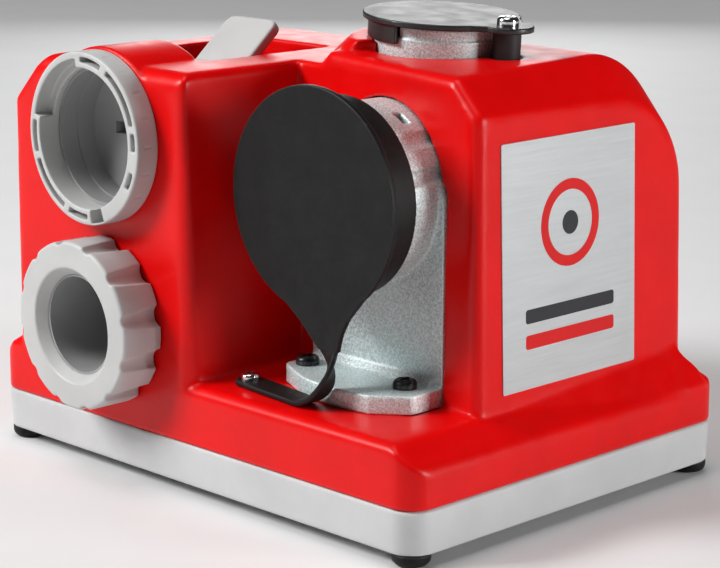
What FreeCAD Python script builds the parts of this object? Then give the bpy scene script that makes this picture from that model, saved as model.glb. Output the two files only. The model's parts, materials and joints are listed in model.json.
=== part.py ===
import FreeCAD, Part
import math
import os

# Bench drill bit sharpener. Millimetres, +Z up, +Y to the rear, +X to the right.
# Origin: on the bench, under the centre of the base footprint.

V = FreeCAD.Vector

# ---- driving dimensions ------------------------------------------------------------
BASE_W = 250.0            # footprint along X
BASE_D = 181.6            # footprint along Y
BASE_R = 11.0             # plan corner radius
FOOT_H = 5.0
TRAY_TOP = 22.4           # parting line between tray and housing
SKIRT_TOP = 37.0          # top of the vertical part of the skirt
LEDGE_Z = 46.6            # flat top of the skirt
WALL = 3.0
FRONT_Y = -BASE_D / 2
BACK_Y = 79.8             # rear wall of the towers
ORIGIN_Y = 9.6            # the knob reaches 19.2 mm past the base, so all moves back by half of it
HUMP = (-48.9, 140.0, 36.2)          # x, z, radius of the barrel over the upper left port
PORT = (-48.9, 140.3)                # axis of the upper left port
KNOB = (-48.3, 65.3)                 # axis of the fluted knob
FRONT = (55.5, 126.0)                # axis of the right front port
TOP = (42.2, 9.0)                    # where the roof port leaves the roof
POST = (76.2, 10.2)                  # pivot post of the swivel cover
ROOF_LEFT = (18.0, 175.6, 0.011)     # roof at its left end: x, height at y = 0, rise per mm of y
ROOF_RIGHT = (95.5, 173.7, 0.028)    # roof at its right end
LEFT_TOP = 169.8                     # flat top of the left tower
SPINDLE = (24.0, 106.0)              # y, z of the motor and wheel axis
COVER_H = 11.7                        # underside of the swivel cover above the roof at the port axis
ROOF_PORT_LEAN = (0.063, -0.005)          # lean of the roof port axis towards +X and +Y
LEVER_PIN = (-33.0, 160.0)           # y, z of the clamping lever pivot
FEET = [(-116, -82), (116, -82), (-116, 82), (116, 82)]
POSTS = [(-103, -84, 60), (-103, 72.5, 60), (103, 72.5, 60), (103, -70, 46)]


# ---- small helpers -----------------------------------------------------------------
def box(x0, x1, y0, y1, z0, z1):
    return Part.makeBox(x1 - x0, y1 - y0, z1 - z0, V(x0, y0, z0))


def cyl_x(y, z, r, x0, x1):
    return Part.makeCylinder(r, x1 - x0, V(x0, y, z), V(1, 0, 0))


def cyl_y(x, z, r, y0, y1):
    return Part.makeCylinder(r, y1 - y0, V(x, y0, z), V(0, 1, 0))


def cyl_z(x, y, r, z0, z1):
    return Part.makeCylinder(r, z1 - z0, V(x, y, z0), V(0, 0, 1))


def fuse(shapes):
    out = shapes[0]
    if len(shapes) > 1:
        out = out.multiFuse(shapes[1:])
    return out.removeSplitter()


def outline(points, radii, plane, level):
    """Closed wire through points, each corner rounded by its radius."""
    place = {
        "xy": lambda a, b: V(a, b, level),
        "xz": lambda a, b: V(a, level, b),
        "yz": lambda a, b: V(level, a, b),
    }[plane]
    count = len(points)
    marks = []
    for i in range(count):
        p = V(points[i][0], points[i][1], 0)
        a = (V(*points[i - 1], 0) - p).normalize()
        b = (V(*points[(i + 1) % count], 0) - p).normalize()
        r = radii[i]
        if r <= 0:
            marks.append((p, p, p))
            continue
        half = a.getAngle(b) / 2
        reach = r / math.tan(half)
        middle = p + (a + b).normalize() * (r / math.sin(half) - r)
        marks.append((p + a * reach, middle, p + b * reach))
    edges = []
    for i in range(count):
        start, middle, end = marks[i]
        if (start - end).Length > 1e-6:
            ring = [place(q.x, q.y) for q in (start, middle, end)]
            edges.append(Part.Arc(*ring).toShape())
        following = marks[(i + 1) % count][0]
        if (following - end).Length > 1e-6:
            edges.append(Part.makeLine(place(end.x, end.y), place(following.x, following.y)))
    return Part.Wire(edges)


def slab(points, radii, plane, start, end):
    """Rounded outline pulled from start to end along the plane's normal."""
    wire = outline(points, radii, plane, start)
    along = {"xy": V(0, 0, 1), "xz": V(0, 1, 0), "yz": V(1, 0, 0)}[plane]
    return Part.Face(wire).extrude(along * (end - start))


def rect(x0, x1, y0, y1):
    return [(x0, y0), (x1, y0), (x1, y1), (x0, y1)]


def keep_side(shape, point, outward):
    """Cut away everything beyond the plane through point."""
    size = 600.0
    block = Part.makeBox(size, size, size, V(-size / 2, -size / 2, 0))
    block.Placement = FreeCAD.Placement(V(*point), FreeCAD.Rotation(V(0, 0, 1), V(*outward)))
    return shape.cut(block)


def at(shape, x, y, z, toward=(0, 0, 1)):
    """Place a part made along +Z at a point, pointing another way."""
    copy = shape.copy()
    turn = FreeCAD.Rotation(V(0, 0, 1), V(*toward))
    copy.Placement = FreeCAD.Placement(V(x, y, z), turn)
    return copy


def pan_screw(d, length, head_d, head_h, cross=True):
    """Pan head screw, seat at z = 0, shank downwards, cross recess on top."""
    head = Part.makeCylinder(head_d / 2, head_h)
    crown = [e for e in head.Edges if abs(e.BoundBox.ZMin - head_h) < 1e-6 and e.Closed]
    head = head.makeFillet(head_h * 0.55, crown)
    shank = Part.makeCylinder(d / 2, length + 0.5, V(0, 0, -length))
    tip = [e for e in shank.Edges if abs(e.BoundBox.ZMax + length) < 1e-6 and e.Closed]
    shank = shank.makeChamfer(d * 0.15, tip)
    body = head.fuse(shank).removeSplitter()
    if cross:
        arm = head_d * 0.28
        slot = 0.16 * d
        deep = head_h * 0.6
        for a, b in ((arm, slot), (slot, arm)):
            body = body.cut(Part.makeBox(2 * a, 2 * b, deep + 1, V(-a, -b, head_h - deep)))
    return body


def save(name, shape):
    """Export one node, with the origin under the middle of the bounding box."""
    solids = shape.Solids
    shape = (solids[0] if len(solids) == 1 else Part.Compound(solids)).copy()
    shape.translate(V(0, ORIGIN_Y, 0))
    shape.exportStep("parts/%s.step" % name)


# ---- base --------------------------------------------------------------------------
def base_tray():
    low = outline(rect(-124.55, 124.55, -90.35, 90.35), [BASE_R] * 4, "xy", FOOT_H)
    high = outline(rect(-125, 125, -90.8, 90.8), [BASE_R] * 4, "xy", TRAY_TOP)
    tray = Part.makeLoft([low, high], True, True)
    inside = rect(-125 + WALL, 125 - WALL, -90.8 + WALL, 90.8 - WALL)
    tray = tray.cut(slab(inside, [BASE_R - WALL] * 4, "xy", FOOT_H + WALL, TRAY_TOP + 1))
    bosses = [cyl_z(x, y, 4.6, FOOT_H + 1, 16) for x, y in FEET]
    bosses += [cyl_z(x, y, 5.6, FOOT_H + 1, TRAY_TOP - 0.1) for x, y, _ in POSTS]
    bosses += [cyl_z(x, y, 5.0, FOOT_H + 1, 14) for x, y in CRADLE_SCREWS]
    tray = fuse([tray] + bosses)
    holes = [cyl_z(x, y, 1.55, 0, 15) for x, y in FEET]
    holes += [cyl_z(x, y, 2.2, 0, 30) for x, y, _ in POSTS]
    holes += [cyl_z(x, y, 4.3, 0, 12) for x, y, _ in POSTS]
    holes += [cyl_z(x, y, 1.8, 9, 15) for x, y in CRADLE_SCREWS]
    for i in range(9):
        x = -78 + i * 10
        holes.append(slab(rect(x, x + 4, 20, 64), [1.99] * 4, "xy", 4, 9))
    return tray.cut(holes)


def rubber_feet():
    foot = Part.makeCylinder(7.4, FOOT_H)
    rim = [e for e in foot.Edges if abs(e.BoundBox.ZMax) < 1e-6 and e.Closed]
    foot = foot.makeFillet(3.0, rim)
    foot = foot.cut([cyl_z(0, 0, 1.6, -1, 6), cyl_z(0, 0, 3.1, -1, 2.6)])
    return Part.Compound([at(foot, x, y, 0) for x, y in FEET])


def foot_screws():
    screw = pan_screw(3.0, 8.5, 5.6, 1.8)
    return Part.Compound([at(screw, x, y, 2.6, (0, 0, -1)) for x, y in FEET])


# ---- housing -----------------------------------------------------------------------
FRONT_WALL = ((0.5, -30.5), (112.0, -44.3))      # foot of the right tower's front wall
WALL_DRAFT = 0.016
LABEL_WALL = ((113.3, 47.0), (110.0, 157.0))


def skirt(t):
    """Skirt of the housing, inset by t."""
    plan = slab(rect(-125 + t, 125 - t, FRONT_Y + t, -FRONT_Y - t), [BASE_R - t] * 4, "xy", 22.4, 60)
    top = LEDGE_Z - t
    side = [(-125 + t, 10), (-125 + t, SKIRT_TOP - t * 0.4), (-112 + t * 0.4, top),
            (112.8 - t * 0.4, top), (125 - t, SKIRT_TOP - t * 0.4), (125 - t, 10)]
    soft = 7.0 - t
    across = slab(side, [0, soft, soft, soft, soft, 0], "xz", -100, 100)
    depth = [(FRONT_Y + t, 10), (FRONT_Y + t, top), (BACK_Y + 0.5 - t * 0.4, top),
             (-FRONT_Y - t, SKIRT_TOP - t * 0.4), (-FRONT_Y - t, 10)]
    along = slab(depth, [0, 4.5 - t, soft, soft, 0], "yz", -130, 130)
    return plan.common(across).common(along)


def side_ramp():
    """Ramp along the foot of the label wall: it rises to the rear."""
    ramp = box(110.6, 125, -25, 82, 38, 60)
    ramp = keep_side(ramp, V(112.9, -44, 46.2), V(2067, -103, 1486))
    ramp = keep_side(ramp, V(112, 73, 55.2), V(0, 9.2, 7.5))
    return ramp.common(slab(rect(-125, 125, FRONT_Y, -FRONT_Y), [BASE_R] * 4, "xy", 22.4, 60))


def left_tower(t):
    """Drafted left tower with a chamfered left shoulder, inset by t."""
    top = LEFT_TOP - t
    profile = [(-112 + t, 30), (-107.4 + t, 150 - t * 0.4), (-87.6 + t * 0.4, top),
               (0.2 - t, top), (3.2 - t, 30)]
    soft = 4.0 - t
    body = slab(profile, [0, soft, soft, soft, 0], "xz", FRONT_Y + t, BACK_Y - t)
    back = 40.0 - t
    depth = [(FRONT_Y + t, 25), (FRONT_Y + t, top), (BACK_Y - t, top), (BACK_Y - t, 25)]
    body = body.common(slab(depth, [0, 7 - t, back, 0], "yz", -130, 30))
    plan = rect(-112.7 + t, 3.4 - t, FRONT_Y + t, BACK_Y - t)
    return body.common(slab(plan, [8 - t, 8 - t, 0.0, 8 - t], "xy", 20, 200))


def tower_section(x, top, rise, arc, t):
    """Side profile of the right tower at one x: roof line and a big rear arc."""
    low = 30
    front, back = -70, BACK_Y - t
    points = [(front, low), (front, top + rise * front - t), (back, top + rise * back - t), (back, low)]
    return outline(points, [0, 0, arc - t, 0], "yz", x)


def right_tower(t):
    """Right tower: sloping roof, rear arc, chamfer wrapped round the label side."""
    stations = [(-20, LEFT_TOP, 0.0, 40), (12.8, LEFT_TOP, 0.0, 40), (*ROOF_LEFT, 41),
                (*ROOF_RIGHT, 42), (114, 154.3, -0.034, 41)]
    wires = [tower_section(x, top, rise, arc, t) for x, top, rise, arc in stations]
    body = Part.makeLoft(wires, True, True)
    (x0, y0), (x1, y1) = FRONT_WALL
    normal = V(y1 - y0, -(x1 - x0), 0).normalize()
    normal = (normal + V(0, 0, WALL_DRAFT)).normalize()
    body = keep_side(body, V(x0, y0, LEDGE_Z) - normal * t, normal)
    (x0, z0), (x1, z1) = LABEL_WALL
    normal = V(z1 - z0, 0, x0 - x1).normalize()
    return keep_side(body, V(x0, 0, z0) - normal * t, normal)


def round_right_tower(body):
    """Soften the front and right hand edges of the right tower."""
    picked = []
    for e in body.Edges:
        c = e.CenterOfMass
        b = e.BoundBox
        front = b.YMax < -25 and b.XMax > 15 and c.z > 50
        label = b.XMin > 105 and c.z > 50 and c.y > -40
        if front and b.XMin > 10 or label and b.YMax < 79.5 and b.ZMax < 165:
            picked.append(e)
    return body.makeFillet(4.0, picked)


def top_housing():
    outer = [skirt(0), side_ramp(), left_tower(0), round_right_tower(right_tower(0)),
             cyl_y(HUMP[0], HUMP[1], HUMP[2], FRONT_Y, -58)]
    shell = fuse(outer)
    inner = [skirt(WALL), left_tower(WALL), right_tower(WALL),
             cyl_y(HUMP[0], HUMP[1], HUMP[2] - WALL, FRONT_Y + WALL, -58 - WALL)]
    hollow = fuse(inner)
    hollow = fuse([hollow, slab(rect(-122, 122, -87.8, 87.8), [8] * 4, "xy", 20, 30)])
    shell = shell.cut(hollow)
    tub = box(-74.5, -21.5, -61, 14.5, 150.5, 168)
    ribs = [cyl_z(x, y, 4.6, TRAY_TOP, z) for x, y, z in POSTS]
    dx, dy = cover_place()
    ribs.append(on_roof(cyl_z(dx, dy, 8.0, -12, -1.5)))
    ribs.append(cyl_y(PORT[0], PORT[1], 33, FRONT_Y + 1, -84))
    ribs.append(cyl_y(KNOB[0], KNOB[1], 27, FRONT_Y + 1, -84))
    ribs.append(cyl_z(TOP[0], TOP[1], 30.5, 163, 171).common(right_tower(0.5)))
    collar = Part.makeCone(45.0, 35.5, 10.0, V(0, 0, -6), V(0, 0, 1))
    collar = collar.cut(cyl_z(0, 0, 30.0, 3.6, 10))
    wedge = slab([(0, 0), (-60, 50), (-60, -20), (-22, -52)], [0] * 4, "xy", -8, 12)
    collar = on_roof(collar.common(wedge))
    shell = fuse([shell, tub.common(left_tower(0.5)), collar] + ribs)
    gaps = []
    gaps.append(cut_pocket())
    gaps.append(box(-60.5, -36.5, -48, -22, 140, 156))
    gaps.append(cyl_y(PORT[0], PORT[1], 29.9, -100, -80))
    gaps.append(cyl_y(KNOB[0], KNOB[1], 21.9, -100, -80))
    gaps.append(cyl_y(FRONT[0], FRONT[1], 35.3, -60, -20))
    gaps.append(slab(rect(20.1, 92.9, 46, 135), [0, 0, 8, 8], "xz", -60, -37.2))
    gaps.append(on_roof(cyl_z(0, 0, 27.3, -30, 20)))
    for x, y, z in POSTS:
        gaps.append(cyl_z(x, y, 2.05, 20, z - 4))
    gaps.append(on_roof(cyl_z(dx, dy, 5.9, -2.25, 20)))
    gaps.append(on_roof(cyl_z(dx, dy, 1.76, -20, 0)))
    gaps.append(cyl_x(*LEVER_PIN, 2.03, -74, -22))
    gaps += [cyl_z(x, y, 2.1, 40, 50) for x, y in BRACKET_SCREWS]
    gaps.append(cyl_z(*STRAP_SCREW, 1.55, 40, 50))
    gaps.append(box(63, 77, 70, 84, 118, 140))
    gaps.append(cyl_y(GLAND[0], GLAND[1], 8.1, 70, 84))
    for i in range(8):
        x = -86 + i * 9.5
        gaps.append(slab(rect(x, x + 4.5, 70, 105), [2.2] * 4, "xz", 70, 84))
    return shell.cut(gaps)


def cut_pocket():
    return slab(rect(-72, -24, -58, 12), [5] * 4, "xy", 153, 200)


def roof_height(x, y):
    """Height of the roof, which rises to the rear and falls to the right."""
    part = (x - ROOF_LEFT[0]) / (ROOF_RIGHT[0] - ROOF_LEFT[0])
    level = ROOF_LEFT[1] + part * (ROOF_RIGHT[1] - ROOF_LEFT[1])
    rise = ROOF_LEFT[2] + part * (ROOF_RIGHT[2] - ROOF_LEFT[2])
    return level + rise * y


def roof_frame():
    """Placement of the roof port, which leans a little to the right."""
    turn = FreeCAD.Rotation(V(0, 0, 1), V(*ROOF_PORT_LEAN, 1))
    return FreeCAD.Placement(V(TOP[0], TOP[1], roof_height(*TOP)), turn)


def on_roof(shape):
    """Move a part drawn round the roof port axis to its place."""
    copy = shape.copy()
    copy.Placement = roof_frame().multiply(copy.Placement)
    return copy


BRACKET_SCREWS = [(81.5, -50.5), (29.5, -52.5)]
STRAP_SCREW = (17.0, -72.0)
CRADLE_SCREWS = [(-56, 0), (-22, 0), (-56, 48), (-22, 48)]
GLAND = (84.0, 62.0)
ROCKER_PIN = (BACK_Y - 3.8, 129.0)


def housing_screws():
    screw = pan_screw(4.0, 22.0, 7.6, 2.6)
    return Part.Compound([at(screw, x, y, 12.0, (0, 0, -1)) for x, y, _ in POSTS])


# ---- upper left port: alignment of the drill in its chuck --------------------------
RING_SLOTS = [(68, 91), (15, 61), (-3, 10), (-32, -19), (-109, -87), (-159, -115), (-188, -164)]


def ring_sector(axis, inner, outer, low, high, y0, y1):
    """Part of a ring round an axis along Y, between two angles in degrees."""
    x, z = axis
    ring = cyl_y(x, z, outer, y0, y1).cut(cyl_y(x, z, inner, y0 - 1, y1 + 1))
    reach = [(x, z)]
    for i in range(5):
        a = math.radians(low + (high - low) * i / 4)
        reach.append((x + 60 * math.cos(a), z + 60 * math.sin(a)))
    return ring.common(slab(reach, [0] * 6, "xz", y0, y1))


def alignment_port_ring():
    x, z = PORT
    y0, y1 = -101.0, FRONT_Y
    ring = cyl_y(x, z, 34.8, y0, y1)
    lip = [e for e in ring.Edges if e.Closed and abs(e.BoundBox.YMax - y0) < 1e-6]
    ring = ring.makeFillet(0.8, lip)
    ring = fuse([ring, cyl_y(x, z, 29.8, y1 - 1, -84.5)])
    ring = ring.cut(cyl_y(x, z, 28.3, -110, -80))
    pockets = [ring_sector(PORT, 30.4, 32.7, low, high, y0 - 1, y0 + 7.0) for low, high in RING_SLOTS]
    pockets.append(ring_sector(PORT, 28.0, 31.8, 97, 168, y0 - 1, y0 + 7.0))
    pockets.append(ring_sector(PORT, 28.6, 34.0, -83, -69, y0 - 1, y0 + 6.0))
    ring = ring.cut(pockets)
    marks = []
    for i in range(20):
        mark = box(x - 0.5, x + 0.5, y0 + 3, y0 + 7.5, z + 34.45, z + 36)
        mark.rotate(V(x, 0, z), V(0, 1, 0), i * 18)
        marks.append(mark)
    return ring.cut(marks)


def alignment_port_cup():
    """Dark socket behind the ring, with a window for the claws in its floor."""
    x, z = PORT
    cup = cyl_y(x, z, 28.2, -91.4, -69.3)
    cone = Part.makeCone(26.3, 9.0, 3.8, V(x, -74.4, z), V(0, 1, 0))
    mouth = [cyl_y(x, z, 26.9, -110, -83), cyl_y(x, z, 26.3, -90, -74.4), cone]
    mouth.append(cyl_y(x, z, 8.0, -80, -60))
    mouth.append(box(x - 15.0, x + 15.0, -80, -60, z - 2.5, z + 2.5))
    cup = cup.cut(mouth)
    guide = box(x - 20, x + 20, -70, -55, z - 9.5, z + 9.5)
    guide = guide.cut(box(x - 15.5, x + 15.5, -69.3, -50, z - 6.0, z + 6.0))
    guide = guide.cut(mouth)
    flange = cyl_y(x, z, 32.5, -83.6, -81.4).cut(cyl_y(x, z, 27, -85, -80))
    return fuse([cup, guide, flange])


def claw(side):
    """One of the two sliding jaws that meet on the port axis."""
    x, z = PORT
    points = [(0.6, -69), (3.0, -69), (12.2, -63), (12.2, -56.5), (0.6, -56.5)]
    shape = slab([(x + side * a, b) for a, b in points], [0] * 5, "xy", z - 5.7, z + 5.7)
    notch = Part.makeBox(4, 20, 4, V(-2, -10, -2))
    notch.rotate(V(0, 0, 0), V(0, 1, 0), 45)
    notch.translate(V(x + side * 0.6, -65, z))
    return shape.cut(notch)


def alignment_lever():
    x = PORT[0] + 2.2
    y, z = LEVER_PIN
    half = 15.3
    paddle = slab(rect(-half, half, 0, 31), [0.0, 0.0, 4.5, 4.5], "xy", -2.4, 2.4)
    soft = [e for e in paddle.Edges if e.BoundBox.ZLength < 1e-6 and e.BoundBox.YMax > 0.5]
    paddle = paddle.makeFillet(1.2, soft)
    paddle.rotate(V(0, 0, 0), V(1, 0, 0), 41)
    paddle.translate(V(x, y, z))
    boss = cyl_x(y, z, 5.0, x - half, x + half)
    arm = box(x - 7, x + 3, y - 4, y + 1.5, z - 19, z)
    lever = fuse([paddle, boss, arm])
    return lever.cut(cyl_x(y, z, 2.05, x - 20, x + 20))


def lever_pin():
    y, z = LEVER_PIN
    return cyl_x(y, z, 2.0, -73.6, -22.4)


def lever_spring():
    """Torsion spring wound on the pin beside the lever."""
    y, z = LEVER_PIN
    helix = Part.makeHelix(1.3, 5.2, 3.2)
    start = V(3.2, 0, 0)
    wire = Part.Wire(helix.Edges)
    profile = Part.Wire(Part.makeCircle(0.45, start, V(0, 1, 0.06)))
    coil = wire.makePipeShell([profile], True, True)
    coil.Placement = FreeCAD.Placement(V(-69.0, y, z), FreeCAD.Rotation(V(0, 0, 1), V(1, 0, 0)))
    return coil


# ---- lower left fluted knob --------------------------------------------------------
def setting_knob():
    x, z = KNOB
    y0, y1 = -110.0, -91.2
    knob = cyl_y(x, z, 34.5, y0, y1)
    face = [e for e in knob.Edges if abs(e.BoundBox.YMax - y0) < 1e-6]
    knob = knob.makeFillet(1.4, face)
    flutes = []
    for i in range(12):
        a = math.radians(i * 30 + 12)
        foot = V(x + 36.2 * math.cos(a), y0 - 1, z + 36.2 * math.sin(a))
        flutes.append(Part.makeCone(3.1, 5.0, y1 - y0 + 2, foot, V(0, 1, 0)))
    knob = knob.cut(flutes)
    knob = knob.cut(Part.makeCone(23.9, 20.5, 4.4, V(x, y0, z), V(0, 1, 0)))
    return knob.cut(cyl_y(x, z, 20.5, y0, y1 + 1))


def knob_sleeve():
    x, z = KNOB
    sleeve = cyl_y(x, z, 20.44, -105.3, -62)
    sleeve = fuse([sleeve, cyl_y(x, z, 26.0, -83.7, -81.5), cyl_y(x, z, 21.8, -90.9, -83)])
    sleeve = sleeve.cut(cyl_y(x, z, 19.6, -110, -66))
    return sleeve.cut(cyl_y(x, z, 7.0, -110, -60))


# ---- right front port --------------------------------------------------------------
def front_port_bracket():
    x, z = FRONT
    plate_points = [(x - 35, 47.0), (x - 35, z), (x + 30, z + 18), (x + 37, z), (x + 37, 47.0)]
    plate = slab(plate_points, [0, 0, 8, 12, 0], "xz", -41.5, -37.5)
    plate = fuse([plate, cyl_y(x, z, 34.8, -70.0, -27.0)])
    shoe = [(x - 34.5, -38.0), (x + 37.0, -38.0), (x + 37.0, -44.5), (x + 37.0, -58.0), (x + 24.5, -68.5),
            (x + 6, -70.8), (x - 12, -68.3), (x - 33.5, -58)]
    flange = slab(shoe, [0, 0, 0, 4.5, 3, 30, 30, 5], "xy", LEDGE_Z + 0.0, LEDGE_Z + 7.3)
    root = slab([(-41.4, 53.6), (-45.4, 53.6), (-41.4, 57.6)], [0] * 3, "yz", x - 33, x + 33)
    bracket = fuse([plate, flange, root])
    tools = [cyl_y(x, z, 29.6, -80, -20)]
    for degrees, reach in ((16.5, 5.0), (41.0, 5.8)):
        a = math.radians(degrees)
        middle = 33.4 + reach
        tools.append(cyl_y(x + middle * math.cos(a), z + middle * math.sin(a), reach, -80, -31))
    window = box(x - 3.2, x + 3.2, -45.9, -42.2, z + 26, z + 40)
    window.rotate(V(x, 0, z), V(0, 1, 0), 30)
    tools.append(window)
    tools += [cyl_z(a, b, 2.7, 40, 60) for a, b in BRACKET_SCREWS]
    tools += [cyl_z(a, b, 5.0, LEDGE_Z + 7.3, 60) for a, b in BRACKET_SCREWS]
    return bracket.cut(tools)


def front_port_liner():
    x, z = FRONT
    liner = cyl_y(x, z, 29.55, -69.0, -25.0).cut(cyl_y(x, z, 26.5, -80, -20))
    lug = box(x - 3, x + 3, -69, -50, z + 24.0, z + 27.5)
    return fuse([liner, lug])


def bracket_screws():
    screw = pan_screw(4.0, 13.0, 9.4, 3.6)
    return Part.Compound([at(screw, a, b, LEDGE_Z + 7.3) for a, b in BRACKET_SCREWS])


def front_cap():
    """Rubber cap: disc flange, short rim over the ring, teardrop tail."""
    x, z = FRONT
    disc = cyl_y(x, z, 43.7, -75.2, -72.6)
    tail = slab([(x - 14, z - 41.4), (x - 5.3, z - 47.8), (x + 1.1, z - 54.1), (x + 3.8, z - 56.4),
                 (x + 13.8, z - 56.4), (x + 15.4, z - 50.3), (x + 19.1, z - 43.4), (x + 27.5, z - 33.9)],
                [0, 12, 20, 0, 0, 20, 12, 0], "xz", -75.2, -72.6)
    rim = cyl_y(x, z, 38.7, -73, -57.5).cut(cyl_y(x, z, 35.06, -72.6, -50))
    return fuse([disc, tail, rim])


def front_cap_strap():
    """Flat strap: hangs from the tail, twists a quarter turn and lies along the ledge."""
    x, z = FRONT
    stations = [
        ((x + 8.8, -73.9, z - 56.5), (1, 0, 0), (0, 1, 0), 4.9),
        ((x + 9.5, -74.1, z - 60.0), (0.88, -0.48, 0), (0.48, 0.88, 0), 5.0),
        ((x + 9.9, -74.8, z - 64.0), (0.62, -0.78, 0), (0.78, 0.62, 0.02), 5.1),
        ((x + 9.3, -75.9, z - 68.5), (0.3, -0.95, 0), (0.94, 0.3, -0.15), 5.1),
        ((x + 6.8, -76.8, z - 73.0), (0.1, -0.99, 0), (0.87, 0.1, -0.45), 5.2),
        ((x + 2.0, -77.1, z - 76.4), (0.05, -1, 0), (0.4, 0.02, -0.92), 5.2),
        ((x - 4.0, -76.8, z - 77.9), (0, -1, 0), (0.1, 0, -1), 5.3),
        ((x - 10.0, -76.1, z - 78.15), (0, -1, 0), (0, 0, -1), 5.4),
    ]
    wires = []
    for centre, wide, thick, half in stations:
        c = V(*centre)
        w = V(*wide).normalize() * half
        n = V(*thick).normalize() * 1.1
        corners = [c + w + n, c - w + n, c - w - n, c + w - n]
        wires.append(Part.makePolygon(corners + corners[:1]))
    strap = Part.makeLoft(wires, True, False)
    sx, sy = STRAP_SCREW
    lying = [(x - 9.9, -81.5), (x - 9.9, -70.7), (sx, sy + 6.0), (sx, sy - 6.0)]
    lying = slab(lying, [0] * 4, "xy", LEDGE_Z + 0.1, LEDGE_Z + 2.3)
    tab = cyl_z(sx, sy, 6.0, LEDGE_Z + 0.1, LEDGE_Z + 2.3)
    strap = fuse([strap, lying, tab])
    return strap.cut(cyl_z(*STRAP_SCREW, 2.05, 40, 55))


def strap_screw():
    screw = pan_screw(3.0, 10.0, 7.4, 2.6)
    return at(screw, STRAP_SCREW[0], STRAP_SCREW[1], LEDGE_Z + 2.35)


# ---- roof port and its swivel cover -------------------------------------------------
def top_port_ring():
    low = cyl_z(0, 0, 27.0, -16, 6.6)
    high = cyl_z(0, 0, 26.4, 6, COVER_H - 0.6)
    ring = fuse([low, high]).cut(cyl_z(0, 0, 22.6, -30, 20))
    ring = ring.cut(box(-2.5, 2.5, -30, -20, 7.0, 13))
    return on_roof(ring)


def cover_place():
    """Post position measured in the plane of the roof port."""
    return POST[0] - TOP[0], POST[1] - TOP[1]


def cover_post():
    dx, dy = cover_place()
    post = cyl_z(dx, dy, 5.6, -2.2, COVER_H - 0.1).cut(cyl_z(dx, dy, 1.76, -5, 20))
    return on_roof(post)


def top_cover():
    dx, dy = cover_place()
    low, high = COVER_H, COVER_H + 2.3
    disc = cyl_z(0, 0, 31.5, low, high)
    lobe = cyl_z(dx, dy, 10.4, low, high)
    bridge = slab([(14, -28), (dx - 1, dy - 10.3), (dx - 1, dy + 10.3), (14, 28)], [0] * 4, "xy", low, high)
    skirt_arc = cyl_z(0, 0, 29.3, 4.3, low + 1).cut(cyl_z(0, 0, 27.4, 0, high))
    wedge = slab([(0, 0), (-60, -1.0), (-60, -60), (5, -60), (2.2, -20)], [0] * 5, "xy", 0, low + 1)
    cover = fuse([disc, lobe, bridge, skirt_arc.common(wedge)])
    return on_roof(cover.cut(cyl_z(dx, dy, 1.76, 0, 20)))


def cover_screw():
    dx, dy = cover_place()
    screw = pan_screw(3.4, 20.0, 8.6, 3.3)
    screw.translate(V(dx, dy, COVER_H + 2.4))
    return on_roof(screw)


# ---- motor, spindle and wheel -------------------------------------------------------
def motor_can():
    y, z = SPINDLE
    can = cyl_x(y, z, 33.0, -70, -8).cut(cyl_x(y, z, 30.6, -71, -7))
    coils = cyl_x(y, z, 30.6, -58, -20).cut(cyl_x(y, z, 19.0, -60, -18))
    return fuse([can, coils])


def motor_end_caps():
    y, z = SPINDLE
    left = cyl_x(y, z, 33.0, -74, -70.05).cut(cyl_x(y, z, 8.03, -80, -60))
    right = cyl_x(y, z, 33.0, -7.95, -4).cut(cyl_x(y, z, 8.03, -20, 10))
    caps = [left, right]
    vents = [cyl_x(y + 20 * math.cos(a), z + 20 * math.sin(a), 4.0, -90, 10)
             for a in (math.radians(60 * i + 30) for i in range(6))]
    return Part.Compound([c.cut(vents) for c in caps])


def motor_bearings():
    y, z = SPINDLE
    races = []
    for x0 in (-74.0, -8.0):
        races.append(cyl_x(y, z, 8.0, x0, x0 + 5).cut(cyl_x(y, z, 4.03, x0 - 1, x0 + 6)))
    return Part.Compound(races)


def spindle_shaft():
    y, z = SPINDLE
    parts = [cyl_x(y, z, 4.0, -92, 72), cyl_x(y, z, 18.2, -60, -18), cyl_x(y, z, 6.0, -2, 27.9)]
    return fuse(parts)


def cooling_fan():
    y, z = SPINDLE
    hub = cyl_x(y, z, 9.0, -90, -78)
    disc = cyl_x(y, z, 30.0, -80, -78)
    blades = []
    for i in range(9):
        blade = box(-88, -79, y - 0.8, y + 0.8, z + 8, z + 30)
        blade.rotate(V(0, y, z), V(1, 0, 0), 40 * i)
        blades.append(blade)
    fan = fuse([hub, disc] + blades)
    return fan.cut(cyl_x(y, z, 4.02, -100, -70))


def grinding_wheel():
    y, z = SPINDLE
    points = [(32, 10), (32, 36), (35, 38), (57, 38), (62, 33), (62, 10)]
    edges = [V(a, y, z + b) for a, b in points]
    face = Part.Face(Part.makePolygon(edges + edges[:1]))
    wheel = face.revolve(V(0, y, z), V(1, 0, 0), 360)
    return wheel


def wheel_flanges():
    y, z = SPINDLE
    inner = fuse([cyl_x(y, z, 17, 28.0, 31.95), cyl_x(y, z, 9.95, 31, 46.9)])
    outer = fuse([cyl_x(y, z, 17, 62.05, 65.5), cyl_x(y, z, 9.95, 47.0, 63)])
    hole = cyl_x(y, z, 4.03, 20, 80)
    return Part.Compound([inner.cut(hole), outer.cut(hole)])


def wheel_nut():
    y, z = SPINDLE
    points = [(y + 7.5 * math.cos(math.radians(60 * i)), z + 7.5 * math.sin(math.radians(60 * i)))
              for i in range(6)]
    nut = slab(points, [0] * 6, "yz", 65.6, 71)
    return nut.cut(cyl_x(y, z, 4.03, 60, 80))


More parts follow.
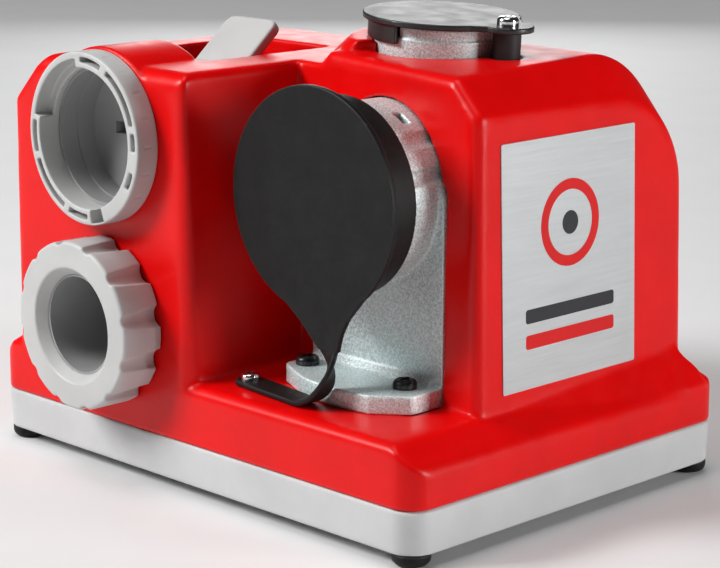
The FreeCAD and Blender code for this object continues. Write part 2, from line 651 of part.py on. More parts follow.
def motor_cradle():
    """Two bent steel saddles on a base plate that hold the motor over the tray."""
    y, z = SPINDLE
    base = box(-74, -2, -8, 56, 14, 16.5)
    saddles = []
    for x0 in (-68, -12.5):
        web = box(x0, x0 + 2.5, y - 30, y + 30, 14, z)
        saddles.append(web)
        saddles.append(cyl_x(y, z, 36.0, x0 - 2, x0 + 4.5))
    cradle = fuse([base] + saddles)
    tools = [cyl_x(y, z, 33.06, -90, 20)]
    tools += [cyl_z(a, b, 2.2, 10, 20) for a, b in CRADLE_SCREWS]
    tools.append(box(-60, -16, y - 20, y + 20, 13, 18))
    for x0 in (-70, -14):
        tools.append(box(x0, x0 + 8, y - 18, y + 18, 24, 62))
    return cradle.cut(tools)


def cradle_screws():
    screw = pan_screw(3.5, 6.0, 7.0, 2.4)
    return Part.Compound([at(screw, a, b, 16.5) for a, b in CRADLE_SCREWS])


def run_capacitor():
    can = cyl_x(-50, 23.1, 15.0, 20, 78)
    stud = [cyl_x(-50, 23.1, 4.0, 78, 82)]
    return fuse([can] + stud)


# ---- rear: switch and cable entry ---------------------------------------------------
def switch_bezel():
    frame = box(60.5, 79.5, BACK_Y, BACK_Y + 2.0, 115.5, 142.5)
    frame = fuse([frame, box(63.2, 76.8, BACK_Y - 14, BACK_Y + 1, 118.2, 139.8)])
    frame = frame.cut(box(64.6, 75.4, BACK_Y - 10, BACK_Y + 5, 119.6, 138.4))
    return frame.cut(cyl_x(*ROCKER_PIN, 1.65, 63.6, 76.4))


def switch_rocker():
    """Rocker that tips about a horizontal pin."""
    zc = 129.0
    y0 = BACK_Y - 3.0
    points = [(y0, zc - 8.0), (BACK_Y + 1.0, zc - 8.0), (BACK_Y + 2.2, zc), (BACK_Y + 4.0, zc + 8.0),
              (y0, zc + 8.0), (BACK_Y - 6.5, zc)]
    rocker = slab(points, [0.6, 0.6, 0, 0.6, 0.6, 0], "yz", 64.9, 75.1)
    return fuse([rocker, cyl_x(*ROCKER_PIN, 1.6, 63.7, 76.3)])


def cord_gland():
    x, z = GLAND
    gland = fuse([cyl_y(x, z, 8.0, BACK_Y - 8, BACK_Y + 2), cyl_y(x, z, 10.5, BACK_Y + 0.02, BACK_Y + 4)])
    ridge = Part.makeCone(8.5, 6.2, 7, V(x, BACK_Y + 4, z), V(0, 1, 0))
    nut = cyl_y(x, z, 11.0, BACK_Y - 6.0, BACK_Y - WALL - 0.05).cut(cyl_y(x, z, 7.0, 0, 100))
    return fuse([gland, ridge, nut]).cut(cyl_y(x, z, 3.6, BACK_Y - 20, BACK_Y + 20))


# ---- plate on the right hand side ---------------------------------------------------
def name_plate():
    (x0, z0), (x1, z1) = LABEL_WALL
    lean = math.degrees(math.atan2(x0 - x1, z1 - z0))
    points = rect(-38.95, 38.95, -47.8, 47.8)
    plate = slab([(a + 8.85, b) for a, b in points], [0.8] * 4, "yz", 0.02, 0.5)
    plate.rotate(V(0, 0, 0), V(0, 1, 0), -lean)
    mid = 100.7
    x_mid = x0 + (x1 - x0) * (mid - z0) / (z1 - z0)
    plate.translate(V(x_mid, 0, mid))
    return plate


NODES = [
    base_tray, rubber_feet, foot_screws, top_housing, housing_screws,
    alignment_port_ring, alignment_port_cup, alignment_lever, lever_pin, lever_spring,
    setting_knob, knob_sleeve,
    front_port_bracket, front_port_liner, bracket_screws, front_cap, front_cap_strap, strap_screw,
    top_port_ring, cover_post, top_cover, cover_screw,
    motor_can, motor_end_caps, motor_bearings, spindle_shaft, cooling_fan,
    grinding_wheel, wheel_flanges, wheel_nut, motor_cradle, cradle_screws, run_capacitor,
    switch_bezel, switch_rocker, cord_gland, name_plate,
]

os.makedirs("parts", exist_ok=True)
for make in NODES:
    save(make.__name__, make())
save("claw_left", claw(-1))
save("claw_right", claw(1))
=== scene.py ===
import json
import math
import bmesh
import bpy
from mathutils import Matrix, Vector

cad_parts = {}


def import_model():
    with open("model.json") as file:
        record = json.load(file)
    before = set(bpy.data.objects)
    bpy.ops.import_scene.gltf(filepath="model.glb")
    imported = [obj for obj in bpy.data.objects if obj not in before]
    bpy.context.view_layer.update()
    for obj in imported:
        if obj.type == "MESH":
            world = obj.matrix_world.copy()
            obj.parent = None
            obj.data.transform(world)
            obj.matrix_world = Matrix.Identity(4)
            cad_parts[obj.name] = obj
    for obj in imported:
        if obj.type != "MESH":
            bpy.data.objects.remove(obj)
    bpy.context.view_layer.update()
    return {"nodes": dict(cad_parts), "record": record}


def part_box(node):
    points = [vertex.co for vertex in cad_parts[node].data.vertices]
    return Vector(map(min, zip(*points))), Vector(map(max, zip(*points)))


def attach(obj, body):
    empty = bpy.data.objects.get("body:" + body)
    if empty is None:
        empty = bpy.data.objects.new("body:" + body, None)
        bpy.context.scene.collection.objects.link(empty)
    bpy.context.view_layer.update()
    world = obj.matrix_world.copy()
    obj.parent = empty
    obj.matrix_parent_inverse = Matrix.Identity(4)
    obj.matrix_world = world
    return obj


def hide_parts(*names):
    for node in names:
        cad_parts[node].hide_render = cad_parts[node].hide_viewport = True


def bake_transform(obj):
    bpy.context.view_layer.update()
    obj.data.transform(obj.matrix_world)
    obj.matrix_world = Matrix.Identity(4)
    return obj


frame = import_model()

NODES = frame["nodes"]
SCENE = bpy.context.scene
MM = 0.001

CAMERA_AZIMUTH = 45.558        # degrees round to the right of the front
CAMERA_ELEVATION = 12.9225     # degrees above the bench
CAMERA_PLACE = (0.670585, -0.642576, 0.287616)
SENSOR_MM = 36.0
LENS_MM = 114.55
BACKDROP = 0.95                # world brightness as the camera sees it
FILL = 0.03                    # world brightness as light on the object
PRINT_TOP_MM = 0.06            # printed marks stand this far off the plate
PRINT_FOOT_MM = 0.005
STRAP_HALF_MM = 1.12           # half the thickness of the rubber strap
STRAP_STEPS = 8                # sections between two stations of the strap


# ---- node materials -----------------------------------------------------------------
class Mat:
    """A small builder for procedural materials in object coordinates (metres)."""

    def __init__(self, name, rough, metallic=0.0, ior=1.5):
        self.mat = bpy.data.materials.new(name)
        self.mat.use_nodes = True
        self.tree = self.mat.node_tree
        self.bsdf = self.tree.nodes["Principled BSDF"]
        self.bsdf.inputs["Roughness"].default_value = rough
        self.bsdf.inputs["Metallic"].default_value = metallic
        self.bsdf.inputs["IOR"].default_value = ior
        self.coord = self.tree.nodes.new("ShaderNodeTexCoord").outputs["Object"]
        self.height = None

    def node(self, kind, **values):
        made = self.tree.nodes.new("ShaderNode" + kind)
        for key, value in values.items():
            if hasattr(made, key):
                setattr(made, key, value)
            else:
                made.inputs[key.replace("_", " ")].default_value = value
        return made

    def link(self, a, b):
        self.tree.links.new(a, b)

    def stretched(self, scale):
        mapping = self.node("Mapping")
        mapping.inputs["Scale"].default_value = scale
        self.link(self.coord, mapping.inputs["Vector"])
        return mapping.outputs["Vector"]

    def noise(self, size_mm, detail=2.0, roughness=0.5, vector=None):
        tex = self.node("TexNoise")
        tex.inputs["Scale"].default_value = 1000.0 / size_mm
        tex.inputs["Detail"].default_value = detail
        tex.inputs["Roughness"].default_value = roughness
        self.link(vector or self.coord, tex.inputs["Vector"])
        return tex.outputs["Fac"]

    def ramp(self, fac, low, high, a, b):
        """Map fac from low..high to a..b."""
        made = self.node("MapRange")
        made.inputs["From Min"].default_value = low
        made.inputs["From Max"].default_value = high
        made.inputs["To Min"].default_value = a
        made.inputs["To Max"].default_value = b
        self.link(fac, made.inputs["Value"])
        return made.outputs["Result"]

    def mix(self, fac, a, b):
        made = self.node("Mix", data_type="RGBA")
        for value, socket in ((a, made.inputs[6]), (b, made.inputs[7])):
            if isinstance(value, tuple):
                socket.default_value = (*value, 1.0)
            else:
                self.link(value, socket)
        if isinstance(fac, float):
            made.inputs[0].default_value = fac
        else:
            self.link(fac, made.inputs[0])
        return made.outputs[2]

    def colour(self, socket):
        self.link(socket, self.bsdf.inputs["Base Color"])
        return self

    def rough(self, socket):
        self.link(socket, self.bsdf.inputs["Roughness"])
        return self

    def bump(self, height, distance_mm, strength=1.0):
        made = self.node("Bump")
        made.inputs["Strength"].default_value = strength
        made.inputs["Distance"].default_value = distance_mm * MM
        self.link(height, made.inputs["Height"])
        if self.height is not None:
            self.link(self.height, made.inputs["Normal"])
        self.height = made.outputs["Normal"]
        self.link(self.height, self.bsdf.inputs["Normal"])
        return self

    def edges(self, low=0.52, high=0.6):
        """1 on sharp outer edges, 0 elsewhere: a mask for worn edges, and on the rubber for a painted
        highlight.
        """
        geo = self.node("NewGeometry")
        return self.ramp(geo.outputs["Pointiness"], low, high, 0.0, 1.0)

    def set(self, **values):
        for key, value in values.items():
            self.bsdf.inputs[key.replace("_", " ")].default_value = value
        return self


def shade(rgb, k):
    return tuple(min(1.0, c * k) for c in rgb)


def plastic(name, rgb, rough, grain_mm=0.35, relief=0.012, wear=0.08, gloss=0.5,
            wave=0.025):
    """Moulded plastic: faint blotches, spark-eroded grain, slightly polished edges."""
    m = Mat(name, rough)
    blotch = m.noise(28.0, 3.0)
    body = m.mix(m.ramp(blotch, 0.35, 0.65, 0.0, 1.0), shade(rgb, 0.95), shade(rgb, 1.05))
    fine = m.noise(1.6, 3.0, 0.6)
    body = m.mix(m.ramp(fine, 0.45, 0.8, 0.0, 0.18), body, shade(rgb, 0.9))
    lighter = tuple(min(1.0, c * 1.08 + 0.004) for c in rgb)
    worn = m.node("Math", operation="MULTIPLY")
    m.link(m.edges(), worn.inputs[0])
    worn.inputs[1].default_value = wear * 3
    m.colour(m.mix(worn.outputs[0], body, lighter))
    m.rough(m.ramp(m.noise(9.0, 4.0), 0.3, 0.7, rough - 0.04, rough + 0.05))
    m.bump(m.noise(grain_mm, 1.5, 0.55), relief)
    m.bump(m.noise(14.0, 2.0), wave)
    m.set(Specular_IOR_Level=gloss)
    return m.mat


def rubber(name, value, rough):
    """Matt black rubber with bloom, fine pores and scuffs, and a painted highlight on its sharp edges.
    """
    m = Mat(name, rough)
    rgb = (value, value, value * 1.02)
    bloom = m.ramp(m.noise(11.0, 4.0, 0.6), 0.4, 0.75, 0.0, 1.0)
    body = m.mix(bloom, shade(rgb, 0.85), shade(rgb, 1.35))
    scuffs = m.noise(1.0, 2.0, 0.5, m.stretched((0.15, 1.0, 0.6)))
    body = m.mix(m.ramp(scuffs, 0.66, 0.78, 0.0, 0.25), body, shade(rgb, 2.2))
    # Sharp edges are lightened 3.6 times: a painted highlight for the side light on the rim, not wear.
    m.colour(m.mix(m.edges(0.515, 0.56), body, shade(rgb, 3.6)))
    m.rough(m.ramp(m.noise(3.0, 3.0), 0.3, 0.7, rough - 0.05, rough + 0.08))
    m.bump(m.noise(0.45, 2.0, 0.6), 0.015)
    m.set(Specular_IOR_Level=0.16)
    return m.mat


def cast_metal(name, value, rough):
    """Sand-cast aluminium: coarse grain, pits and random darker stains."""
    m = Mat(name, rough, metallic=0.3)
    # The red channel is lowered to 0.85: a painted correction that cancels the red light bounced from
    # the housing, not a tint of the metal.
    rgb = (value * 0.85, value, value)
    grain = m.noise(0.75, 2.0, 0.6)
    body = m.mix(m.ramp(grain, 0.36, 0.64, 0.0, 1.0), shade(rgb, 0.66), shade(rgb, 1.24))
    stain = m.ramp(m.noise(16.0, 3.0), 0.35, 0.7, 0.0, 0.35)
    body = m.mix(stain, body, shade(rgb, 0.78))
    m.colour(m.mix(m.edges(0.51, 0.58), body, shade(rgb, 1.22)))
    m.rough(m.ramp(grain, 0.3, 0.7, rough - 0.08, rough + 0.12))
    m.bump(m.noise(1.1, 3.0, 0.6), 0.14)
    m.bump(m.noise(0.5, 1.0), 0.045)
    return m.mat


def turned_metal(name, value, rough, axis_scale=(1.0, 1.0, 30.0)):
    m = Mat(name, rough, metallic=1.0)
    rgb = (value, value, value * 1.01)
    lines = m.noise(2.2, 2.0, 0.7, m.stretched(axis_scale))
    m.colour(m.mix(m.ramp(lines, 0.3, 0.7, 0.0, 1.0), shade(rgb, 0.82), shade(rgb, 1.08)))
    m.rough(m.ramp(lines, 0.3, 0.7, rough - 0.05, rough + 0.08))
    m.bump(lines, 0.008)
    return m.mat


def bright_metal(name, value, rough):
    """Bright plated steel with faint handling marks."""
    m = Mat(name, rough, metallic=1.0)
    rgb = (value, value, value)
    marks = m.noise(1.4, 4.0, 0.7)
    m.colour(m.mix(m.ramp(marks, 0.4, 0.7, 0.0, 1.0), rgb, shade(rgb, 0.85)))
    m.rough(m.ramp(marks, 0.35, 0.75, rough, rough + 0.1))
    m.bump(m.noise(0.8, 2.0), 0.006)
    return m.mat


def blackened(name, value, rough):
    """Black oxide steel: dark, slightly blue, with bare edges."""
    m = Mat(name, rough, metallic=0.85)
    rgb = (value, value, value * 1.1)
    patch = m.ramp(m.noise(1.2, 4.0, 0.65), 0.4, 0.7, 0.0, 1.0)
    body = m.mix(patch, shade(rgb, 0.8), shade(rgb, 1.6))
    m.colour(m.mix(m.edges(0.53, 0.62), body, (0.22, 0.22, 0.23)))
    m.rough(m.ramp(m.noise(0.9, 3.0), 0.3, 0.7, rough - 0.07, rough + 0.1))
    m.bump(m.noise(0.6, 2.0), 0.012)
    return m.mat


def abrasive(name):
    m = Mat(name, 0.85)
    grit = m.noise(0.5, 2.0, 0.7)
    m.colour(m.mix(m.ramp(grit, 0.35, 0.65, 0.0, 1.0), (0.16, 0.13, 0.1), (0.42, 0.36, 0.28)))
    m.rough(m.ramp(grit, 0.3, 0.7, 0.75, 0.95))
    m.bump(grit, 0.15)
    return m.mat


def brushed_plate(name):
    """Satin silver foil, brushed along the plate."""
    m = Mat(name, 0.42, metallic=0.45)
    rgb = (0.50, 0.51, 0.515)
    lines = m.noise(1.2, 3.0, 0.7, m.stretched((1.0, 0.04, 1.0)))
    cloud = m.ramp(m.noise(30.0, 2.0), 0.3, 0.7, 0.0, 0.3)
    body = m.mix(m.ramp(lines, 0.3, 0.7, 0.0, 1.0), shade(rgb, 0.93), shade(rgb, 1.06))
    m.colour(m.mix(cloud, body, shade(rgb, 0.95)))
    m.rough(m.ramp(lines, 0.3, 0.7, 0.38, 0.48))
    m.bump(lines, 0.004)
    return m.mat


RED = (0.72, 0.0012, 0.0015)
GREY = (0.50, 0.50, 0.495)
MATS = {
    "red_plastic": plastic("red_plastic", RED, 0.32, 0.4, 0.010, 0.08, 0.2),
    "grey_plastic": plastic("grey_plastic", GREY, 0.45, 0.35, 0.008),
    "tray_plastic": plastic("tray_plastic", (0.55, 0.555, 0.56), 0.5, 0.5, 0.012),
    # bore_plastic: the grey plastic darkened to 0.3, painted shade for the insides of the port cup and
    # knob sleeve
    "bore_plastic": plastic("bore_plastic", (0.3, 0.3, 0.3), 0.42, 0.35, 0.008),
    # dark_plastic: near-black, painted shade so that the window in the bracket ring reads dark
    "dark_plastic": plastic("dark_plastic", (0.035, 0.035, 0.037), 0.42, 0.4, 0.014),
    "black_rubber": rubber("black_rubber", 0.0095, 0.46),
    "cover_plastic": plastic("cover_plastic", (0.016, 0.016, 0.0165), 0.34, 0.5, 0.006,
                             0.08, 0.5, 0.004),
    "cast_aluminium": cast_metal("cast_aluminium", 0.78, 0.46),
    "machined_steel": turned_metal("machined_steel", 0.55, 0.3),
    "chrome_steel": bright_metal("chrome_steel", 0.82, 0.12),
    "black_oxide": blackened("black_oxide", 0.03, 0.36),
    "silver_foil": brushed_plate("silver_foil"),
    "sheet_steel": bright_metal("sheet_steel", 0.55, 0.3),
    "motor_paint": plastic("motor_paint", (0.06, 0.062, 0.065), 0.38, 0.6, 0.02),
    "abrasive": abrasive("abrasive"),
    "spring_steel": bright_metal("spring_steel", 0.45, 0.28),
    "mark_dark": plastic("mark_dark", (0.03, 0.03, 0.033), 0.45, 0.3, 0.003, 0.05, 0.2, 0.004),
    "mark_red": plastic("mark_red", (0.62, 0.006, 0.006), 0.45, 0.3, 0.003, 0.05, 0.2, 0.004),
}
SLOT = {part["node"]: part["material_slot"] for part in frame["record"]["subparts"]}
BODY = {}
for body_name, members in frame["record"]["behaviour"]["bodies"].items():
    for member in members:
        BODY[member] = body_name
# The port cup and knob sleeve take bore_plastic, a darker grey that is painted shade for their
# insides.
OWN_MATERIAL = {"alignment_port_cup": "bore_plastic", "knob_sleeve": "bore_plastic",
                "base_tray": "tray_plastic", "top_cover": "cover_plastic",
                # The front port liner is made near-black with dark_plastic: painted shade in the
                # bracket ring's window.
                "front_port_liner": "dark_plastic"}


def material_key(node):
    return OWN_MATERIAL.get(node, SLOT[node])


for node_name, cad_object in NODES.items():
    for material_slot in cad_object.material_slots:
        material_slot.link = "OBJECT"
        material_slot.material = MATS[material_key(node_name)]


# ---- building helpers ---------------------------------------------------------------
def new_object(name, bm, key, body):
    """Turn a bmesh into a piece; one without a body is blended later."""
    mesh = bpy.data.meshes.new(name)
    bm.normal_update()
    bm.to_mesh(mesh)
    bm.free()
    obj = bpy.data.objects.new(name, mesh)
    SCENE.collection.objects.link(obj)
    mesh.materials.append(MATS[key])
    if body:
        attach(obj, body)
    return obj


def apply_modifiers(obj):
    graph = bpy.context.evaluated_depsgraph_get()
    mesh = bpy.data.meshes.new_from_object(obj.evaluated_get(graph))
    obj.modifiers.clear()
    old = obj.data
    obj.data = mesh
    bpy.data.meshes.remove(old)


def voxel_remesh(obj, voxel_mm):
    remesh = obj.modifiers.new("remesh", "REMESH")
    remesh.mode = "VOXEL"
    remesh.voxel_size = voxel_mm * MM
    remesh.adaptivity = 0.0
    apply_modifiers(obj)


def add_smooth(obj, turns, group=""):
    smooth = obj.modifiers.new("smooth", "SMOOTH")
    smooth.factor = 0.5
    smooth.iterations = turns
    smooth.vertex_group = group


def shade_smooth(obj):
    for poly in obj.data.polygons:
        poly.use_smooth = True


def soften(node, name, voxel_mm, smooth, strong=None):
    """Rebuild a CAD node as a moulded or cast skin with rounded edges.

    strong is a weight from 0 to 1 for each point, and how often to smooth by it.
    """
    mesh = NODES[node].data.copy()
    mesh.name = name
    obj = bpy.data.objects.new(name, mesh)
    SCENE.collection.objects.link(obj)
    voxel_remesh(obj, voxel_mm)
    add_smooth(obj, smooth)
    if strong:
        weight, turns = strong
        group = obj.vertex_groups.new(name="soft")
        for vert in obj.data.vertices:
            value = weight(vert.co)
            if value > 0.01:
                group.add([vert.index], value, "REPLACE")
        add_smooth(obj, turns, group.name)
    apply_modifiers(obj)
    shade_smooth(obj)
    obj.data.materials.clear()
    obj.data.materials.append(MATS[material_key(node)])
    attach(obj, BODY[node])
    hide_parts(node)
    return obj


def centre(node):
    low, high = (Vector(v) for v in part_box(node))
    return (low + high) / 2


def step(value, low, high):
    t = max(0.0, min(1.0, (value - low) / (high - low)))
    return t * t * (3 - 2 * t)


# ---- housing skin: strongly rounded except at its openings --------------------------
plate_low, plate_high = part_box("name_plate")
port_axis = centre("alignment_port_ring")
knob_axis = centre("setting_knob")
roof_axis = centre("top_port_ring")
front_axis = centre("front_port_liner")
bracket_low, bracket_high = (Vector(v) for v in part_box("front_port_bracket"))
house_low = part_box("top_housing")[0]
pin_low, pin_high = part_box("lever_pin")


def housing_softness(co):
    """0 where an opening must stay crisp, 1 on the outer skin."""
    w = step(co.z, house_low[2] + 0.003, house_low[2] + 0.008)
    lever = max(pin_low[0] - 0.004 - co.x, co.x - pin_high[0] - 0.004, 0.0)
    pocket = step(lever, 0.0, 0.008)
    if co.z < 0.140:
        pocket = 1.0
    w *= pocket
    if abs(co.y - house_low[1]) < 0.012:
        for axis, radius in ((port_axis, 0.034), (knob_axis, 0.026)):
            d = math.hypot(co.x - axis.x, co.z - axis.z)
            w *= step(d, radius, radius + 0.004)
    if -0.045 < co.y < 0.0:
        d = math.hypot(co.x - front_axis.x, co.z - front_axis.z)
        w *= step(d, 0.0365, 0.041)
        if co.z < front_axis.z and bracket_low.x - 0.003 < co.x < bracket_high.x + 0.003:
            w = 0.0
    d = math.hypot(co.x - roof_axis.x, co.y - roof_axis.y)
    if co.z > 0.150:
        w *= step(d, 0.033, 0.038)
    return w


soften("top_housing", "housing_moulding", 0.95, 4, (housing_softness, 16))
for skin in (("base_tray", "tray_moulding", 0.9, 5),
             ("front_port_bracket", "bracket_casting", 0.55, 5),
             ("setting_knob", "knob_grip", 0.5, 3),
             ("alignment_port_ring", "port_ring_moulding", 0.42, 2),
             ("alignment_lever", "lever_paddle", 0.5, 4),
             ("top_cover", "swivel_cover_skin", 0.4, 3),
             ("top_port_ring", "roof_ring_casting", 0.45, 3),
             ("rubber_feet", "feet_skin", 0.6, 3),
             ("cord_gland", "gland_skin", 0.5, 2)):
    soften(*skin)


# ---- generic mark on the plate ------------------------------------------------------
def plate_frame():
    """Middle, across (+Y), up and outward vectors of the plate's outer face."""
    verts = [v.co for v in NODES["name_plate"].data.vertices]
    top = max(v.z for v in verts)
    bottom = min(v.z for v in verts)
    out_top = max((v for v in verts if v.z > top - 0.001), key=lambda v: v.x)
    out_bottom = max((v for v in verts if v.z < bottom + 0.001), key=lambda v: v.x)
    up = Vector((out_top.x - out_bottom.x, 0.0, out_top.z - out_bottom.z)).normalized()
    across = Vector((0.0, 1.0, 0.0))
    face = across.cross(up).normalized()
    middle = Vector(((out_top.x + out_bottom.x) / 2, (plate_low[1] + plate_high[1]) / 2,
                     (out_top.z + out_bottom.z) / 2))
    return middle, across, up, face


PLATE = plate_frame()


def on_plate(a_mm, b_mm, lift_mm):
    middle, across, up, face = PLATE
    return middle + across * a_mm * MM + up * b_mm * MM + face * lift_mm * MM


def printed(name, outline, inner, key):
    """A thin printed shape: outline in plate millimetres, with an optional inner outline."""
    bm = bmesh.new()
    top = [bm.verts.new(on_plate(a, b, PRINT_TOP_MM)) for a, b in outline]
    low = [bm.verts.new(on_plate(a, b, PRINT_FOOT_MM)) for a, b in outline]
    n = len(outline)
    for i in range(n):
        j = (i + 1) % n
        bm.faces.new((low[i], low[j], top[j], top[i]))
    if inner:
        top_in = [bm.verts.new(on_plate(a, b, PRINT_TOP_MM)) for a, b in inner]
        low_in = [bm.verts.new(on_plate(a, b, PRINT_FOOT_MM)) for a, b in inner]
        for i in range(n):
            j = (i + 1) % n
            bm.faces.new((top[i], top[j], top_in[j], top_in[i]))
            bm.faces.new((low[j], low[i], low_in[i], low_in[j]))
            bm.faces.new((low_in[j], low_in[i], top_in[i], top_in[j]))
    else:
        bm.faces.new(top)
        bm.faces.new(low[::-1])
    new_object(name, bm, key, "housing")


def circle(cx, cy, r, n=96):
    return [(cx + r * math.cos(2 * math.pi * i / n), cy + r * math.sin(2 * math.pi * i / n))
            for i in range(n)]


def bar(x0, x1, y0, y1, r=1.2):
    points = []
    corners = ((x1 - r, y1 - r, 0), (x0 + r, y1 - r, 90), (x0 + r, y0 + r, 180), (x1 - r, y0 + r, 270))
    for cx, cy, start in corners:
        for i in range(7):
            a = math.radians(start + i * 15)
            points.append((cx + r * math.cos(a), cy + r * math.sin(a)))
    return points


printed("plate_mark_ring", circle(0, 14, 17.0), circle(0, 14, 12.8), "mark_red")
printed("plate_mark_hub", circle(0, 14, 4.6, 64), None, "mark_dark")
printed("plate_mark_bar_upper", bar(-26, 26, -22, -16.5), None, "mark_dark")
printed("plate_mark_bar_lower", bar(-26, 26, -32, -26.5), None, "mark_red")


# ---- front cap and its strap: one rubber moulding -----------------------------------
def spline(values, t):
    """Catmull-Rom through evenly spaced vectors."""
    i = max(0, min(len(values) - 2, int(t)))
    f = t - i
    a, b = values[max(0, i - 1)], values[i]
    c, d = values[i + 1], values[min(len(values) - 1, i + 2)]
    return 0.5 * (2 * b + (c - a) * f + (2 * a - 5 * b + 4 * c - d) * f ** 2
                  + (3 * b - 3 * c + d - a) * f ** 3)


def cap_with_strap():
    """The teardrop tail narrows, twists a quarter turn and lies down to the strap screw."""
    low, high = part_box("front_cap")
    origin = Vector((front_axis.x, low[1], front_axis.z))
    strap_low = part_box("front_cap_strap")[0]
    screw = centre("strap_screw")
    lie = (strap_low[2] - front_axis.z) / MM + 1.15
    end = ((screw.x - origin.x) / MM, (screw.y - origin.y) / MM)
    stations = [
        ((7.0, 1.3, -51.0), (1, 0, 0), (0, 1, 0), 7.6),
        ((8.3, 1.3, -55.4), (1, -0.03, 0), (0.03, 1, 0), 5.4),
        ((9.2, 1.2, -59.4), (0.9, -0.43, 0), (0.43, 0.9, 0), 4.9),
        ((9.8, 0.7, -63.6), (0.64, -0.77, 0), (0.77, 0.64, 0.02), 5.0),
        ((9.4, -0.3, -68.0), (0.32, -0.95, 0), (0.94, 0.32, -0.12), 5.1),
        ((7.6, -1.2, -72.0), (0.12, -0.99, 0), (0.88, 0.12, -0.42), 5.2),
        ((4.0, -1.8, -75.4), (0.06, -1, 0), (0.6, 0.04, -0.8), 5.3),
        ((-1.6, -1.5, lie + 0.35), (0.0, -1, 0), (0.18, 0, -0.98), 5.4),
        ((-8.0, -0.5, lie), (-0.05, -1, 0), (0, 0, -1), 5.5),
        ((-17.0, 0.6, lie), (-0.07, -1, 0), (0, 0, -1), 5.7),
        ((-27.0, 1.8, lie), (-0.07, -1, 0), (0, 0, -1), 5.9),
        ((end[0], end[1], lie), (-0.07, -1, 0), (0, 0, -1), 5.9),
    ]
    centres = [Vector(c) for c, _, _, _ in stations]
    wides = [Vector(w).normalized() for _, w, _, _ in stations]
    thicks = [Vector(n).normalized() for _, _, n, _ in stations]
    halves = [Vector((h, 0, 0)) for _, _, _, h in stations]
    ahead = (centres[-1] - centres[-2]).normalized()
    bm = bmesh.new()
    turns = (len(stations) - 1) * STRAP_STEPS
    rings = []
    for k in range(turns + 7):
        t = min(k, turns) / STRAP_STEPS
        c, w, n = spline(centres, t), spline(wides, t).normalized(), spline(thicks, t)
        n = (n - w * n.dot(w)).normalized()
        half = spline(halves, t).x
        if k > turns:
            angle = (k - turns) * math.pi / 13
            c = c + ahead * half * math.sin(angle)
            half = max(0.4, half * math.cos(angle))
        section = [(-1.0, 0.55), (-0.94, 1.0), (0.94, 1.0), (1.0, 0.55), (1.0, -0.55), (0.94, -1.0),
                   (-0.94, -1.0), (-1.0, -0.55)]
        thick = n * STRAP_HALF_MM
        rings.append([bm.verts.new(origin + (c + w * half * a + thick * b) * MM) for a, b in section])
    for one, two in zip(rings, rings[1:]):
        for i in range(8):
            j = (i + 1) % 8
            bm.faces.new((one[i], one[j], two[j], two[i]))
    bm.faces.new(rings[0][::-1])
    bm.faces.new(rings[-1])
    bm.from_mesh(NODES["front_cap"].data)
    bmesh.ops.recalc_face_normals(bm, faces=bm.faces)
    obj = new_object("cap_with_strap", bm, "black_rubber", None)
    voxel_remesh(obj, 0.42)
    add_smooth(obj, 3)
    apply_modifiers(obj)
    shade_smooth(obj)
    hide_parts("front_cap", "front_cap_strap")
    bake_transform(obj)


cap_with_strap()


# ---- floor, light and camera --------------------------------------------------------
def floor():
    bm = bmesh.new()
    n = 64
    middle = bm.verts.new((0, 0, 0))
    previous = None
    for r in (0.3, 0.6, 1.2, 2.4, 6.0, 14.0):
        ring = [bm.verts.new((x, y, 0)) for x, y in circle(0, 0, r, n)]
        for i in range(n):
            j = (i + 1) % n
            if previous is None:
                bm.faces.new((middle, ring[i], ring[j]))
            else:
                bm.faces.new((previous[i], ring[i], ring[j], previous[j]))
        previous = ring
    mesh = bpy.data.meshes.new("floor")
    bm.to_mesh(mesh)
    bm.free()
    obj = bpy.data.objects.new("floor", mesh)
    SCENE.collection.objects.link(obj)
    m = Mat("studio_floor", 0.6)
    cloud = m.ramp(m.noise(60.0, 2.0), 0.3, 0.7, 0.0, 1.0)
    m.colour(m.mix(cloud, (0.73, 0.73, 0.735), (0.75, 0.75, 0.75)))
    mesh.materials.append(m.mat)


def area_light(name, place, target, size, power):
    data = bpy.data.lights.new(name, "AREA")
    data.shape = "RECTANGLE"
    data.size, data.size_y = size
    data.energy = power
    obj = bpy.data.objects.new(name, data)
    SCENE.collection.objects.link(obj)
    obj.location = place
    aim = Vector(target) - Vector(place)
    obj.rotation_euler = aim.to_track_quat("-Z", "Y").to_euler()


def sun_light(name, aim, strength, spread):
    data = bpy.data.lights.new(name, "SUN")
    data.energy = strength
    data.angle = math.radians(spread)
    obj = bpy.data.objects.new(name, data)
    SCENE.collection.objects.link(obj)
    obj.rotation_euler = Vector(aim).to_track_quat("-Z", "Y").to_euler()


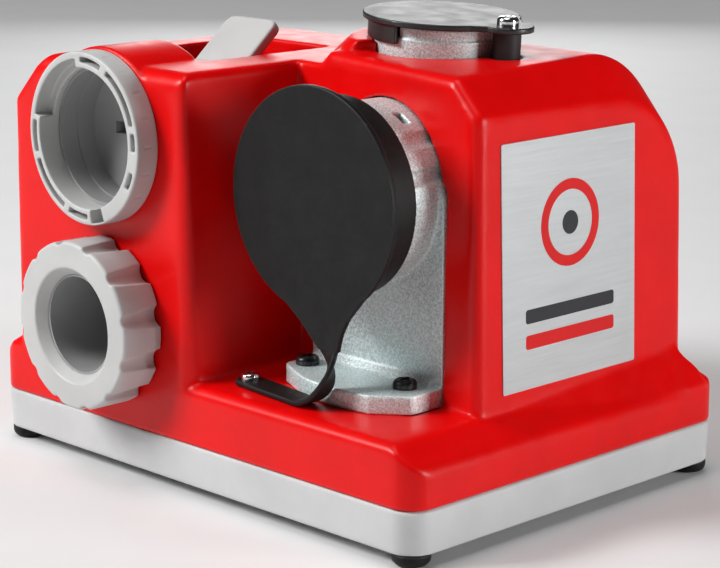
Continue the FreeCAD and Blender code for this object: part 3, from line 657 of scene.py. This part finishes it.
def world():
    """White where the camera sees it, and only a faint fill as light."""
    made = bpy.data.worlds.new("studio")
    made.use_nodes = True
    tree = made.node_tree
    back = tree.nodes["Background"]
    back.inputs["Color"].default_value = (1, 1, 1, 1)
    back.inputs["Strength"].default_value = BACKDROP
    dim = tree.nodes.new("ShaderNodeBackground")
    dim.inputs["Color"].default_value = (1, 1, 1, 1)
    dim.inputs["Strength"].default_value = FILL
    path = tree.nodes.new("ShaderNodeLightPath")
    mix = tree.nodes.new("ShaderNodeMixShader")
    tree.links.new(path.outputs["Is Camera Ray"], mix.inputs["Fac"])
    tree.links.new(dim.outputs[0], mix.inputs[1])
    tree.links.new(back.outputs[0], mix.inputs[2])
    tree.links.new(mix.outputs[0], tree.nodes["World Output"].inputs["Surface"])
    SCENE.world = made


def camera():
    """The photograph's angle: 45.6 degrees round to the right, 12.9 degrees up."""
    azimuth, elevation = math.radians(CAMERA_AZIMUTH), math.radians(CAMERA_ELEVATION)
    right = Vector((math.cos(azimuth), math.sin(azimuth), 0))
    back = Vector((math.sin(azimuth) * math.cos(elevation), -math.cos(azimuth) * math.cos(elevation),
                   math.sin(elevation)))
    up = back.cross(right)
    data = bpy.data.cameras.new("camera")
    data.sensor_width = SENSOR_MM
    data.lens = LENS_MM
    data.clip_start = 0.01
    data.clip_end = 50.0
    obj = bpy.data.objects.new("camera", data)
    SCENE.collection.objects.link(obj)
    place = Matrix((right, up, back)).transposed().to_4x4()
    place.translation = Vector(CAMERA_PLACE)
    obj.matrix_world = place
    SCENE.camera = obj


floor()
area_light("key", (-0.94, -1.34, 1.25), (0.0, 0.0, 0.1), (0.7, 0.7), 43)
area_light("side", (1.58, 0.60, 0.36), (0.0, 0.0, 0.1), (0.5, 0.5), 17)
area_light("rear", (-1.08, 1.12, 0.5), (0.0, 0.0, 0.17), (0.6, 0.6), 3.1)
sun_light("top", (0.05, 0.12, -1.0), 1.0, 34)
world()
camera()
SCENE.view_settings.view_transform = "Standard"
SCENE.view_settings.look = "None"
